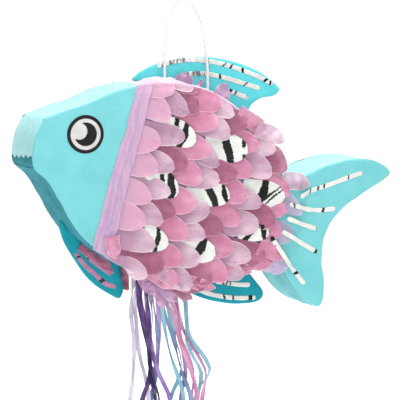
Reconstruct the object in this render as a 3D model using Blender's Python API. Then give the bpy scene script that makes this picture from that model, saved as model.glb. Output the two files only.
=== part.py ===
"""Pull-string fish pinata: a hollow card box in the outline of a fish, hung from a cord loop.

Frame: +X runs from nose to tail, +Y away from the side that faces the viewer, +Z up. The origin is the
top of the hanging loop. Lengths in the tables are millimetres, and MM turns them into metres.
Every card piece is an outline in the XZ plane, pushed along Y.
"""

import math

import bmesh
import bpy
import numpy as np
from mathutils import Matrix, Vector

MM = 0.001
GAP = 0.3  # clearance between pieces that touch on the real object
MIN_STEP = 1.0  # points closer to a curve's cut end than this are left out
MIN_EDGE = 0.2  # the same for the corners of a clipped outline

# The box
BOX_THICK = 78.0
CARD = 2.0
CURVE_STEP = 7.0  # spacing of points along a curved edge
PANEL_OUT = BOX_THICK / 2
PANEL_IN = PANEL_OUT - CARD
STRIP_HALF = PANEL_IN - GAP

# The outline, clockwise as seen, as the runs that the edge strips follow.
# Each run starts where the one before it ends.
OUTLINE = {
    "nose_strip": [(-183, -174), (-184, -157), (-180, -140), (-171, -123)],
    "back_strip": [
        (-171, -123), (-155, -117), (-121, -107), (-87, -94), (-54, -89), (-19, -90), (16, -98.5),
        (40, -111), (62, -129), (80, -147), (96, -172), (105, -205),
    ],
    "tail_top_strip": [(105, -205), (130, -193), (160, -182.5), (197, -176.5), (223, -182.5), (235, -194)],
    "tail_end_strip": [
        (235, -194), (222, -204), (197, -217.5), (173, -234), (155.5, -258), (151, -288), (154, -322),
        (148, -340),
    ],
    "tail_bottom_strip": [(148, -340), (136.5, -336), (112.5, -310), (90, -269)],
    "rear_belly_strip": [(90, -269), (78, -284), (55, -298), (30, -306), (6, -306)],
    "door_frame": [(6, -306), (-72, -289)],
    "jaw_strip": [(-72, -289), (-91, -279), (-117, -261.5), (-139, -238), (-156, -208), (-171, -185), (-183, -174)],
}
CORNERS = {"back_strip", "tail_top_strip", "rear_belly_strip", "door_frame", "jaw_strip"}  # runs that start at a fold
STRIP_COLOURS = {"door_frame": "mauve_tissue", "rear_belly_strip": "pink_tissue", "jaw_strip": "dark_teal_tissue"}
CORNER_TRIM = 2.6  # how far a strip stops short of a fold, to clear the next one
JOINT_TRIM = 1.9  # the same at each side of a smooth joint

# The trap door, in the belly
DOOR_HOLE_LENGTH = 62.0
DOOR_HOLE_HALF_WIDTH = 27.0
DOOR_CLEARANCE = 0.6
TAPE_THICK = 0.4
TAPE_WIDTH = 8.0
TAPE_SHORTER = 6.0  # how much shorter than the door the tape is
TAPE_SETBACK = 1.2  # from the fold line to each half of the hinge tape
FOLD_Y = -10.0  # where the fold that carries the ribbons crosses the door
FOLD_DROP = 5.0
FOLD_THICK = 0.8
FOLD_SHORTER = 2.0  # how much shorter than the door the fold is
RIBBON_CARD_THICK = 1.0

# The ribbons
RIBBON_WIDTH = 5.0
RIBBON_THICK = 0.35
RIBBON_PITCH = 0.7  # from one ribbon's plane to the next, along Y
RIBBON_FIRST_Y = -3.0  # the nearest ribbon's plane, from the fold
RIBBON_TOP_GAP = 1.3  # keeps the slanting top of a ribbon off its card
RIBBON_CARD_MARGIN = 1.0  # how much wider than the bundle the card is
RIBBON_POINTS = 16
RIBBON_LEVELS = (-325, -345, -370, -395, -412, -437, -500, -570, -640)
RIBBON_STAGGER = 8.0  # from one length of ribbon to the next
RIBBON_RUN_ON = 30.0  # past its end, the direction that a ribbon keeps to
# For each ribbon its colour, its x at the ribbon card, then its x at each level
RIBBONS = (
    ("ribbon_white", -63, (-66, -66, -63, -64, -65, -68, -66, -60, -66)),
    ("ribbon_purple", -60, (-58, -54, -48, -44, -46, -55, -58, -52, -56)),
    ("ribbon_white", -57, (-62, -60, -58, -54, -50, -46, -50, -56, -50)),
    ("ribbon_purple", -54, (-55, -50, -46, -44, -40, -36, -34, -40, -36)),
    ("ribbon_lilac", -47, (-49, -47, -45, -43, -42, -38, -30, -34, -28)),
    ("ribbon_lavender", -41, (-42, -40, -41, -38, -32, -20, -14, -20, -16)),
    ("ribbon_purple", -45, (-46, -44, -43, -44, -40, -33, -40, -38, -44)),
    ("ribbon_blue", -38, (-39, -36, -33, -34, -36, -42, -46, -44, -48)),
    ("ribbon_lavender", -35, (-34, -32, -32, -36, -42, -50, -44, -46, -40)),
    ("ribbon_blue", -30, (-30, -24, -15, -8, -3, 5, 2, 8, 4)),
    ("ribbon_cyan", -33, (-30, -27, -22, -16, -10, -2, -10, -6, -12)),
    ("ribbon_pink", -27, (-26, -14, -8, 1, 8, 14, 10, 16, 12)),
    ("ribbon_cyan", -24, (-22, -18, -12, -5, -6, -16, -20, -14, -20)),
    ("ribbon_pink", -19, (-18, -8, -6, 6, 12, 8, -2, 4, 0)),
    ("ribbon_lavender", -16, (-12, -6, -5, 0, 2, -4, -10, -6, -10)),
    ("ribbon_pink", -12, (-10, -7, 2, 18, 26, 22, 20, 26, 22)),
    ("ribbon_cyan", -9, (-2, 4, 2, 12, 22, 18, 14, 22, 16)),
    ("ribbon_cyan", -6, (1, 3, 6, 24, 32, 14, 8, 12, 6)),
)

# The tissue on each side, as bands that lean like the gill
GILL_X = -68.0  # front edge of the gill band where it meets the back
GILL_Z = -88.0
GILL_LEAN = 0.26  # how far a band runs forward for each step down
GILL_WIDTH = 15.7
SCALE_END_X = 137.0
SCALE_ROWS = 8
SCALE_THICK = 3.0
GILL_THICK = 1.6

# The eyes
EYE = (-126.5, -140.0)
EYE_RADIUS = 20.3
EYE_THICK = 0.8
EYE_POINTS = 32

# The fins, in the middle plane: the free edge of each, from one end of its root to the other
FIN_THICK = 2.4
DORSAL_EDGE = [(-60, -84), (-50, -76.5), (-27, -67), (0, -63), (31, -62), (67, -69.5), (92, -80), (111, -93.5),
               (115.5, -99), (110, -105), (92, -108.5), (80, -117), (76, -131)]
ANAL_EDGE = [(74, -298), (86, -312), (96.5, -328), (93, -334.5), (68, -338), (44, -335), (20, -328), (4, -319),
             (1, -310)]
PELVIC_EDGE = [(-73, -301), (-70.5, -314), (-75, -323.5), (-86, -319), (-110, -301.5), (-128, -277), (-139, -258),
               (-144, -243)]

# The hanging loop
CORD_RADIUS = 1.7
CORD_HOLE_RADIUS = 2.3
LOOP_LEAN = -7.0  # y of the two feet, in front of the dorsal fin
LOOP_LEAN_DEPTH = 54.0  # how far down the loop has reached that y
LOOP_STEP = 2.0
LOOP_POINTS = 44
LOOP_ROUTE = [
    (-24, -103.5), (-24.2, -80), (-24.2, -54), (-22, -34), (-16, -12), (-6, -1), (0, 0), (7, -1), (16.5, -13),
    (22, -30), (24.2, -54), (26, -78), (26.3, -116.5),
]
ANCHOR = ((-40, -96.5), (42, -117))  # ends of the card under the back, seen from the side
ANCHOR_HALF_WIDTH = 16.0
KNOT_RADIUS = 4.2
DRILL_DEPTH = 40.0  # through the back and the card under it

COLOURS = {
    "teal_tissue": (0.27, 0.78, 0.80), "pale_teal_tissue": (0.50, 0.90, 0.92), "dark_teal_tissue": (0.05, 0.42, 0.50),
    "pink_tissue": (0.90, 0.50, 0.70), "mauve_tissue": (0.70, 0.42, 0.60), "pale_pink_tissue": (0.88, 0.72, 0.82),
    "lavender_tissue": (0.68, 0.58, 0.82), "bare_card": (0.72, 0.62, 0.48), "paper_tape": (0.93, 0.93, 0.90),
    "white_cord": (0.93, 0.93, 0.92), "eye_print": (0.95, 0.95, 0.95), "ribbon_white": (0.90, 0.89, 0.94),
    "ribbon_purple": (0.22, 0.12, 0.42), "ribbon_lilac": (0.45, 0.32, 0.65), "ribbon_lavender": (0.66, 0.56, 0.80),
    "ribbon_blue": (0.42, 0.60, 0.80), "ribbon_cyan": (0.50, 0.80, 0.87), "ribbon_pink": (0.93, 0.56, 0.76),
}
SATIN = {name for name in COLOURS if name.startswith("ribbon")}


def material(name):
    found = bpy.data.materials.get(name)
    if found:
        return found
    made = bpy.data.materials.new(name)
    made.use_nodes = True
    shader = made.node_tree.nodes["Principled BSDF"]
    shader.inputs["Base Color"].default_value = (*COLOURS[name], 1)
    shader.inputs["Roughness"].default_value = 0.4 if name in SATIN else 0.85
    shader.inputs["Metallic"].default_value = 0
    return made


def add(name, mesh, colour, parent=None):
    """One named object for the mesh, whose points are in world metres, held by a parent if it moves."""
    mesh.materials.append(material(colour))
    piece = bpy.data.objects.new(name, mesh)
    bpy.context.scene.collection.objects.link(piece)
    if parent:
        piece.parent = parent
        piece.matrix_parent_inverse = parent.matrix_world.inverted()
    return piece


def pivot(name, place):
    """An empty on a moving body's axis."""
    empty = bpy.data.objects.new(name, None)
    bpy.context.scene.collection.objects.link(empty)
    empty.location = place
    bpy.context.view_layer.update()
    return empty


def smooth(points, step, before=None, after=None):
    """Points about a step apart on a curve through the given ones, easing out of and into its neighbours."""
    points = [np.array(p, float) for p in points]
    first = np.array(before, float) if before else 2 * points[0] - points[1]
    last = np.array(after, float) if after else 2 * points[-1] - points[-2]
    through = [first, *points, last]
    curve = []
    for i in range(1, len(through) - 2):
        a, b, c, d = through[i - 1:i + 3]
        span = np.linalg.norm(c - b)
        out = ((b - a) / np.linalg.norm(b - a) + (c - b) / span) / 2
        into = ((c - b) / span + (d - c) / np.linalg.norm(d - c)) / 2
        for t in np.linspace(0, 1, max(2, round(span / step)), endpoint=False):
            curve.append(
                b * (2 * t**3 - 3 * t**2 + 1) + c * (3 * t**2 - 2 * t**3)
                + span * (out * (t**3 - 2 * t**2 + t) + into * (t**3 - t**2))
            )
    curve.append(points[-1])
    return np.array(curve)


def along(curve, count):
    """The curve again, as evenly spaced points."""
    gone = np.concatenate([[0], np.cumsum(np.linalg.norm(np.diff(curve, axis=0), axis=1))])
    places = np.linspace(0, gone[-1], count)
    return np.stack([np.interp(places, gone, curve[:, k]) for k in range(curve.shape[1])], axis=1)


def trimmed(curve, start, end):
    """The curve without its first and last stretches."""
    gone = np.concatenate([[0], np.cumsum(np.linalg.norm(np.diff(curve, axis=0), axis=1))])
    keep = (gone > start + MIN_STEP) & (gone < gone[-1] - end - MIN_STEP)
    ends = [
        np.array([np.interp(place, gone, curve[:, k]) for k in range(2)]) for place in (start, gone[-1] - end)
    ]
    return np.array([ends[0], *curve[keep], ends[1]])


def shifted(curve, distance):
    """The curve moved to its right, which is into the fish on a clockwise outline."""
    steps = np.gradient(curve, axis=0)
    steps /= np.linalg.norm(steps, axis=1)[:, None]
    return curve + distance * np.stack([steps[:, 1], -steps[:, 0]], axis=1)


def run_curves():
    """Each run of the outline as a curve, which is smooth into the next run except at a fold."""
    names = list(OUTLINE)
    curves = {}
    for i, name in enumerate(names):
        following = names[(i + 1) % len(names)]
        before = None if name in CORNERS else OUTLINE[names[i - 1]][-2]
        after = None if following in CORNERS else OUTLINE[following][1]
        if name == "door_frame":
            curves[name] = np.array(OUTLINE[name], float)
        else:
            curves[name] = smooth(OUTLINE[name], CURVE_STEP, before, after)
    return curves


def prism(name, outline, y_from, y_to, colour, parent=None):
    """A closed outline in the XZ plane, pushed along Y."""
    shape = bmesh.new()
    corners = [shape.verts.new((x * MM, y_from * MM, z * MM)) for x, z in outline]
    cap = shape.faces.new(corners)
    pushed = bmesh.ops.extrude_face_region(shape, geom=[cap])
    moved = [item for item in pushed["geom"] if isinstance(item, bmesh.types.BMVert)]
    bmesh.ops.translate(shape, vec=(0, (y_to - y_from) * MM, 0), verts=moved)
    bmesh.ops.recalc_face_normals(shape, faces=shape.faces)
    mesh = bpy.data.meshes.new(name)
    shape.to_mesh(mesh)
    shape.free()
    return add(name, mesh, colour, parent)


def cut(piece, cutter):
    """Takes the cutter out of the piece, and leaves the cutter as a hidden guide."""
    cutter.hide_render = True
    cutter.display_type = "WIRE"
    hole = piece.modifiers.new(cutter.name, "BOOLEAN")
    hole.operation = "DIFFERENCE"
    hole.object = cutter


def block(name, centre, across, sizes, colour, parent=None):
    """A box whose long side follows a direction in the XZ plane. Sizes: along it, along Y, square to both."""
    shape = bmesh.new()
    bmesh.ops.create_cube(shape, size=MM, matrix=Matrix.Diagonal((*sizes, 1)))
    turn = Vector((1, 0, 0)).rotation_difference(Vector((across[0], 0, across[1]))).to_matrix().to_4x4()
    bmesh.ops.transform(shape, matrix=Matrix.Translation(Vector(centre) * MM) @ turn, verts=shape.verts)
    mesh = bpy.data.meshes.new(name)
    shape.to_mesh(mesh)
    shape.free()
    return add(name, mesh, colour, parent)


def cord(name, points, radius, colour):
    """A round cord through points in world millimetres, closed at both ends."""
    route = bpy.data.curves.new(name, "CURVE")
    route.dimensions = "3D"
    route.bevel_depth = radius * MM
    route.bevel_resolution = 2
    route.use_fill_caps = True
    line = route.splines.new("POLY")
    line.points.add(len(points) - 1)
    for spot, place in zip(line.points, points):
        spot.co = (*(place * MM), 1)
    route.materials.append(material(colour))
    piece = bpy.data.objects.new(name, route)
    bpy.context.scene.collection.objects.link(piece)
    return piece


# ---- the card box ----

def build_box(curves):
    outline = np.concatenate([curve[:-1] for curve in curves.values()])
    prism("front_panel", outline, -PANEL_OUT, -PANEL_IN, "teal_tissue")
    prism("back_panel", outline, PANEL_IN, PANEL_OUT, "teal_tissue")
    names = list(curves)
    strips = {}
    for i, name in enumerate(names):
        following = names[(i + 1) % len(names)]
        start = CORNER_TRIM if name in CORNERS else JOINT_TRIM
        outer = trimmed(curves[name], start, GAP if following in CORNERS else JOINT_TRIM)
        wall = [*outer, *shifted(outer, CARD)[::-1]]
        strips[name] = prism(name, wall, -STRIP_HALF, STRIP_HALF, STRIP_COLOURS.get(name, "pale_teal_tissue"))
    return strips


# ---- the trap door and what hangs from it ----

def door_axes():
    """The middle of the door's outer face, its direction from nose to tail, and its outward direction."""
    rear, front = (np.array(p, float) for p in OUTLINE["door_frame"])
    slope = (rear - front) / np.linalg.norm(rear - front)
    return (rear + front) / 2, slope, np.array([slope[1], -slope[0]])


def build_door(frame):
    middle, slope, outward = door_axes()

    def at(y, out):
        x, z = middle + outward * out
        return (x, y, z)

    hole = block("door_hole", at(0, 0), slope, (DOOR_HOLE_LENGTH, 2 * DOOR_HOLE_HALF_WIDTH, 4 * CARD), "bare_card")
    cut(frame, hole)
    hinge_y = DOOR_HOLE_HALF_WIDTH - DOOR_CLEARANCE / 2
    hinge = pivot("trap_door_hinge", Vector(at(hinge_y, 0)) * MM)
    door_length = DOOR_HOLE_LENGTH - 2 * DOOR_CLEARANCE
    door_width = 2 * (DOOR_HOLE_HALF_WIDTH - DOOR_CLEARANCE)
    block("trap_door", at(0, -CARD / 2), slope, (door_length, door_width, CARD), "mauve_tissue", hinge)

    tape_out = GAP + TAPE_THICK / 2
    tape_size = (door_length - TAPE_SHORTER, TAPE_WIDTH, TAPE_THICK)
    tape_step = TAPE_SETBACK + TAPE_WIDTH / 2
    block("hinge_tape_frame_half", at(hinge_y + tape_step, tape_out), slope, tape_size, "paper_tape")
    block("hinge_tape_door_half", at(hinge_y - tape_step, tape_out), slope, tape_size, "paper_tape", hinge)
    fold_size = (door_length - FOLD_SHORTER, FOLD_THICK, FOLD_DROP)
    block("ribbon_fold", at(FOLD_Y, GAP + FOLD_DROP / 2), slope, fold_size, "bare_card", hinge)
    return hinge


def build_ribbons(door_hinge):
    """The ribbons hang from a card strip, which swings on the fold under the door."""
    middle, slope, outward = door_axes()
    swing_drop = 2 * GAP + FOLD_DROP
    card_drop = swing_drop + 2 * GAP + RIBBON_CARD_THICK / 2
    x, z = middle + outward * swing_drop
    swing = pivot("ribbon_swing", Vector((x, FOLD_Y, z)) * MM)
    swing.parent = door_hinge
    swing.matrix_parent_inverse = door_hinge.matrix_world.inverted()
    bpy.context.view_layer.update()

    bundle = RIBBON_PITCH * (len(RIBBONS) - 1)
    bundle_y = FOLD_Y + RIBBON_FIRST_Y + bundle / 2
    x, z = middle + outward * card_drop
    card_size = (DOOR_HOLE_LENGTH - 2 * DOOR_CLEARANCE, bundle + RIBBON_CARD_MARGIN, RIBBON_CARD_THICK)
    block("ribbon_card", (x, bundle_y, z), slope, card_size, "bare_card", swing)

    foot = middle + outward * (card_drop + RIBBON_CARD_THICK / 2)
    for i, (colour, top_x, levels) in enumerate(RIBBONS):
        tilt = slope[1] / slope[0]
        top = (top_x, foot[1] + tilt * (top_x - foot[0]) - RIBBON_WIDTH * abs(tilt) / 2 - RIBBON_TOP_GAP)
        ends = [*RIBBON_LEVELS[:-1], RIBBON_LEVELS[-1] + RIBBON_STAGGER * (i * 3 % 5 - 2)]
        beyond = (levels[-1], ends[-1] - RIBBON_RUN_ON)
        route = along(smooth([top, *zip(levels, ends)], CURVE_STEP, after=beyond), RIBBON_POINTS)
        y = FOLD_Y + RIBBON_FIRST_Y + i * RIBBON_PITCH
        strip = [*shifted(route, RIBBON_WIDTH / 2), *shifted(route, -RIBBON_WIDTH / 2)[::-1]]
        half = RIBBON_THICK / 2
        prism(f"ribbon_{i + 1:02d}", strip, y - half, y + half, colour, swing)


# ---- fins ----

def fin(name, edge, root, colour):
    """A card fin whose root follows the strip that it stands on, a gap away from it."""
    low, high = sorted((edge[0][0], edge[-1][0]))
    base = shifted(root, -GAP)
    base = base[(base[:, 0] > low + MIN_STEP) & (base[:, 0] < high - MIN_STEP)]
    free = smooth(edge, CURVE_STEP)
    if np.linalg.norm(base[0] - free[-1]) > np.linalg.norm(base[-1] - free[-1]):
        base = base[::-1]
    prism(name, [*free, *base], -FIN_THICK / 2, FIN_THICK / 2, colour)


# ---- eyes, gill and scales ----

def clipped(outline, x_at_back, keep_behind):
    """The part of an outline on one side of a leaning line."""
    side = 1 if keep_behind else -1
    past = [side * (x - x_at_back - GILL_LEAN * (z - GILL_Z)) for x, z in outline]
    kept = []
    for i, here in enumerate(outline):
        if past[i - 1] * past[i] < 0:
            share = past[i - 1] / (past[i - 1] - past[i])
            kept.append(outline[i - 1] + share * (here - outline[i - 1]))
        if past[i] > 0:
            kept.append(here)
    return [p for i, p in enumerate(kept) if np.linalg.norm(p - kept[i - 1]) > MIN_EDGE]


def build_sides(curves):
    fish = ("nose_strip", "back_strip", "rear_belly_strip", "door_frame", "jaw_strip")
    outline = list(np.concatenate([curves[name] for name in fish]))
    first = GILL_X + GILL_WIDTH
    pitch = (SCALE_END_X - first) / SCALE_ROWS
    bands = [("gill_band", GILL_X, first - GAP, GILL_THICK, "lavender_tissue")]
    tissue = ("pink_tissue", "mauve_tissue", "pale_pink_tissue")
    for row in range(SCALE_ROWS):
        start = first + row * pitch
        bands.append((f"scale_row_{row + 1}", start, start + pitch - GAP, SCALE_THICK, tissue[row % 3]))
    for side, facing in (("front", -1), ("back", 1)):
        near = facing * (PANEL_OUT + GAP)
        for name, start, end, thick, colour in bands:
            shape = clipped(clipped(outline, start, True), end, False)
            prism(f"{name}_{side}", shape, near, near + facing * thick, colour)
        angles = np.linspace(0, math.tau, EYE_POINTS, endpoint=False)
        disc = [(EYE[0] + EYE_RADIUS * math.cos(a), EYE[1] + EYE_RADIUS * math.sin(a)) for a in angles]
        prism(f"eye_{side}", disc, near, near + facing * EYE_THICK, "eye_print")


# ---- the hanging loop ----

def build_loop(back_strip):
    lean = [LOOP_LEAN * min(1, -z / LOOP_LEAN_DEPTH) for _, z in LOOP_ROUTE]
    route = along(smooth([(x, y, z) for (x, z), y in zip(LOOP_ROUTE, lean)], LOOP_STEP), LOOP_POINTS)
    cord("hanging_loop", route, CORD_RADIUS, "white_cord")
    start, end = (np.array(p, float) for p in ANCHOR)
    slope = (end - start) / np.linalg.norm(end - start)
    middle = (start + end) / 2
    size = (np.linalg.norm(end - start), 2 * ANCHOR_HALF_WIDTH, CARD)
    card = block("loop_anchor_card", (middle[0], LOOP_LEAN, middle[1]), slope, size, "bare_card")
    for side, foot in (("front", route[0]), ("rear", route[-1])):
        shape = bmesh.new()
        bmesh.ops.create_cone(
            shape, cap_ends=True, segments=12, radius1=CORD_HOLE_RADIUS * MM, radius2=CORD_HOLE_RADIUS * MM,
            depth=DRILL_DEPTH * MM, matrix=Matrix.Translation(Vector(foot) * MM),
        )
        drill = bpy.data.meshes.new("drill")
        shape.to_mesh(drill)
        shape.free()
        hole = add(f"loop_hole_{side}", drill, "bare_card")
        cut(back_strip, hole)
        cut(card, hole)
        shape = bmesh.new()
        bmesh.ops.create_uvsphere(shape, u_segments=12, v_segments=8, radius=KNOT_RADIUS * MM)
        centre = Vector(foot) - Vector((0, 0, KNOT_RADIUS + GAP))
        bmesh.ops.translate(shape, vec=centre * MM, verts=shape.verts)
        knot = bpy.data.meshes.new(f"loop_knot_{side}")
        shape.to_mesh(knot)
        shape.free()
        add(f"loop_knot_{side}", knot, "white_cord")


def main():
    for old in list(bpy.data.objects):
        bpy.data.objects.remove(old, do_unlink=True)
    curves = run_curves()
    strips = build_box(curves)
    build_ribbons(build_door(strips["door_frame"]))
    fin("dorsal_fin", DORSAL_EDGE, curves["back_strip"], "teal_tissue")
    fin("anal_fin", ANAL_EDGE, curves["rear_belly_strip"], "dark_teal_tissue")
    fin("pelvic_fin", PELVIC_EDGE, curves["jaw_strip"], "dark_teal_tissue")
    build_sides(curves)
    build_loop(strips["back_strip"])


main()
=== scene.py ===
"""Pull-string fish pinata, dressed: tissue paper on a card box, fringed scales, foil stripes, cord, ribbons.

Lengths are millimetres in the part's frame (+X nose to tail, +Y away from the front, +Z up, origin at the
top of the hanging loop). MM turns them into metres. The near side faces -Y, and both sides are dressed alike.
"""

import math

import bmesh
import bpy
import numpy as np
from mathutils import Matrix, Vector
from mathutils.geometry import delaunay_2d_cdt


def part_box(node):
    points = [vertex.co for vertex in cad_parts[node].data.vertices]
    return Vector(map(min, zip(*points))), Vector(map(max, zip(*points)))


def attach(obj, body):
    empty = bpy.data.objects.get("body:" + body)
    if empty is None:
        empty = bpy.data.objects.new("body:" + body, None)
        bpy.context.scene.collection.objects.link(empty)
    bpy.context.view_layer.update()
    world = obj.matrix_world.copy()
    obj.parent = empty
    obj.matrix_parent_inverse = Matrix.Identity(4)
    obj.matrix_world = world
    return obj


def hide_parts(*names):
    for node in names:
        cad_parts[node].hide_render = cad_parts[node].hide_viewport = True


MM = 0.001
SIDES = (("front", -1), ("back", 1))

# ---- the camera ----
AIM = (19.95, 0, -219.45)
AZIMUTH, ELEVATION = -22, 6
DISTANCE = 2276.8
LENS = 185.4
SENSOR = 36
FAR_CLIP = 400

# ---- the studio: lamps as place, aim and size in metres, then power ----
LAMPS = {
    "overhead": ((0, -0.25, 1.3), (0.02, 0, -0.2), (1.6, 1.2), 46),
    "front_fill": ((-0.9, -2.2, 0.35), (0.02, 0, -0.22), (1.6, 1.6), 30),
    "rear_fill": ((0.9, 2, 0.5), (0.02, 0, -0.22), (1.4, 1.4), 22),
}
WORLD_STRENGTH = 0.3
FLOOR_HALF = 120
FLOOR_HEIGHT = -0.74
FLOOR_GLOW = 0.75

# ---- the looks of each slot in the record, and of the pieces that keep their shape ----
CAD_LOOKS = {
    # The door and its frame get the pink painted darker as painted shade.
    "shaded_belly_pink": ("door_frame", "trap_door"), "paper_tape": ("hinge_tape_frame_half", "hinge_tape_door_half"),
    "bare_card": ("ribbon_fold", "ribbon_card", "loop_anchor_card"),
    "white_cord": ("loop_knot_front", "loop_knot_rear"),
}

# ---- the box ----
PANEL_OUT = 39
PANEL_IN = 37
CARD = 2
STRIP_HALF = 36.9
EDGE_ROUND = 1.7
OUTLINE = {
    "nose_strip": [(-183, -174), (-184, -157), (-180, -140), (-171, -123)],
    "back_strip": [
        (-171, -123), (-155, -117), (-121, -107), (-87, -94), (-54, -89), (-19, -90), (16, -98.5),
        (40, -111), (62, -129), (80, -147), (96, -172), (105, -205),
    ],
    "tail_top_strip": [(105, -205), (130, -193), (160, -182.5), (197, -176.5), (223, -182.5), (235, -194)],
    "tail_end_strip": [
        (235, -194), (222, -204), (197, -217.5), (173, -234), (155.5, -258), (151, -288), (154, -322),
        (148, -340),
    ],
    "tail_bottom_strip": [(148, -340), (136.5, -336), (112.5, -310), (90, -269)],
    "rear_belly_strip": [(90, -269), (78, -284), (55, -298), (30, -306), (6, -306)],
    "door_frame": [(6, -306), (-72, -289)],
    "jaw_strip": [
        (-72, -289), (-91, -279), (-117, -261.5), (-139, -238), (-156, -208), (-171, -185), (-183, -174),
    ],
}
CORNERS = {"back_strip", "tail_top_strip", "rear_belly_strip", "door_frame", "jaw_strip"}
CORNER_TRIM = 2.2
JOINT_TRIM = 0.3
STEP = 2.5  # spacing of points along a curved edge
FACE_GRID = 4  # spacing of points over a flat face
RIPPLE_WAVES = 7
TISSUE_THICK = 0.25
EDGE_REACH = 0.8  # how far past the box's edge its glued tissue goes before it turns over
STRIP_ACROSS = 31
# Painted light and shade: the back and the tail's top and end get a teal painted lighter, and the nose, jaw,
# tail's underside and belly get a teal or pink painted darker.
STRIP_LOOKS = {
    "nose_strip": "shaded_jaw_teal", "back_strip": "lit_teal", "tail_top_strip": "lit_teal",
    "tail_end_strip": "lit_teal", "tail_bottom_strip": "shaded_low_teal", "rear_belly_strip": "shaded_belly_pink",
    "jaw_strip": "shaded_jaw_teal",
}
LONG_CREASED = {"shaded_jaw_teal", "shaded_low_teal"}
UNDER_LAP = (-171, -164)  # the heights over which the nose's own tissue goes flat under the sheet from above

# ---- the ribbons ----
RIBBON_WIDTH = 5
RIBBON_THICK = 0.3
RIBBON_TURN = 1  # the most it twists from lying in the plane of the fish
RIBBON_CUP = 0.35
RIBBON_SLANT = 2.5  # of its cut end
RIBBON_ALONG, RIBBON_ACROSS = 130, 5
RIBBON_POINTS = 34
RIBBON_LEVELS = (-325, -345, -370, -395, -412, -437, -500, -570, -640)
RIBBON_FIRST_Y = -13
RIBBON_PITCH = 0.7
RIBBONS = (
    ("white", -63, (-66, -66, -63, -64, -65, -68, -66, -60, -66)),
    ("purple", -60, (-58, -54, -48, -44, -46, -55, -58, -52, -56)),
    ("white", -57, (-62, -60, -58, -54, -50, -46, -50, -56, -50)),
    ("purple", -54, (-55, -50, -46, -44, -40, -36, -34, -40, -36)),
    ("lilac", -47, (-49, -47, -45, -43, -42, -38, -30, -34, -28)),
    ("lavender", -41, (-42, -40, -41, -38, -32, -20, -14, -20, -16)),
    ("purple", -45, (-46, -44, -43, -44, -40, -33, -40, -38, -44)),
    ("blue", -38, (-39, -36, -33, -34, -36, -42, -46, -44, -48)),
    ("lavender", -35, (-34, -32, -32, -36, -42, -50, -44, -46, -40)),
    ("blue", -30, (-30, -24, -15, -8, -3, 5, 2, 8, 4)),
    ("cyan", -33, (-30, -27, -22, -16, -10, -2, -10, -6, -12)),
    ("pink", -27, (-26, -14, -8, 1, 8, 14, 10, 16, 12)),
    ("cyan", -24, (-22, -18, -12, -5, -6, -16, -20, -14, -20)),
    ("pink", -19, (-18, -8, -6, 6, 12, 8, -2, 4, 0)),
    ("lavender", -16, (-12, -6, -5, 0, 2, -4, -10, -6, -10)),
    ("pink", -12, (-10, -7, 2, 18, 26, 22, 20, 26, 22)),
    ("cyan", -9, (-2, 4, 2, 12, 22, 18, 14, 22, 16)),
    ("cyan", -6, (1, 3, 6, 24, 32, 14, 8, 12, 6)),
)

# ---- the hanging loop ----
CORD_RADIUS = 1.7
CORD_STRANDS = 3
CORD_LAY = 7
CORD_GROOVE = 0.13
LOOP_LEAN = -7
LOOP_LEANT = 54  # how far down it has leant all the way
LOOP_ROUTE = [
    (-24, -103.5), (-24.2, -80), (-24.2, -54), (-22, -34), (-16, -12), (-6, -1), (0, 0), (7, -1), (16.5, -13),
    (22, -30), (24.2, -54), (26, -78), (26.3, -116.5),
]

# ---- gill, scales, eye ----
GILL_X = -68
GILL_Z = -88
GILL_LEAN = 0.26
GILL_WIDTH = 15.7
SCALE_END_X = 137
EYE = (-126.5, -140)
EYE_RADIUS = 20.3
EYE_WHITE = 16.6
EYE_PUPIL = 12.6
EYE_GLINT = ((-7, 3.3), 8.8)  # centre from the eye's, radius
STICKER_THICK = 0.5
# Pleats across the gill band: place, width and height
GILL_PLEATS = ((0.22, 0.07, -0.5), (0.5, 0.05, -0.7), (0.68, 0.06, 0.5), (0.93, 0.05, 0.9))
# Fringe strips from the gill to the tail: tissue, how far back its tips are, and the height of each tip
FRINGES = (
    ("first_pink", -25, (-93, -120, -148, -179, -207, -235)),
    ("pale", -4, (-92, -117, -145, -175, -205, -232, -259, -289)),
    ("mauve", 9, (-90, -114, -147, -175, -202, -228, -258, -284, -306)),
    ("pink", 33, (-88, -108, -131, -162, -188, -218, -249, -277, -302)),
    ("pale", 50, (-94, -118, -141, -172, -195, -227, -253, -281, -303)),
    ("mauve", 71, (-112, -134, -163, -190, -213, -245, -275, -298)),
    ("pink", 89, (-131, -156, -183, -213, -236, -270, -296)),
    ("pale", 110, (-134, -160, -186, -217, -245, -277, -296)),
    ("mauve", 128, (-150, -178, -214, -237, -254, -280)),
    ("pink", 141, (-163, -184, -206, -228, -253, -287)),
    ("lavender", 161, (-231, -258, -291)),
)
# Petals cut from zebra foil, by strip and tip height: how far the tip sticks out past its strip's, then the
# black bands, which are painted reflections of dark surroundings, each as place back from the tip, half
# width, slant, and how much of its middle is missing
ZEBRA = {
    (2, -147): (4, ((14.4, 3.5, -0.12, 0), (26.3, 3.2, -0.12, 0))),
    (2, -202): (-2, ((9, 4.6, 0.21, 0), (21, 2.8, 0.1, 0))),
    (2, -258): (0.5, ((13, 2.6, 0.11, 0), (27, 2.6, 0.4, 0))),
    (5, -163): (6, ((4.6, 2.4, 0.25, 1.4), (22.3, 4.7, 0.41, 0))),
    (5, -213): (-2, ((5, 2.8, 0.55, 0), (22.3, 4.8, 0.65, 0))),
    (5, -275): (-2, ((1.2, 0.8, 0.2, 0), (20, 4.8, -0.29, 0))),
    (8, -214): (7, ((11.5, 1.3, -0.8, 0), (17, 1.6, -0.9, 0), (26, 4.6, -0.1, 0))),
    (8, -254): (-1.5, ((6.6, 3.2, 0.54, 0), (17.5, 3.4, -0.57, 0), (30, 2.8, -0.5, 0))),
}
PETAL_LENGTH = 50
PETAL_LENGTHS = {"first_pink": 36}
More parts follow.
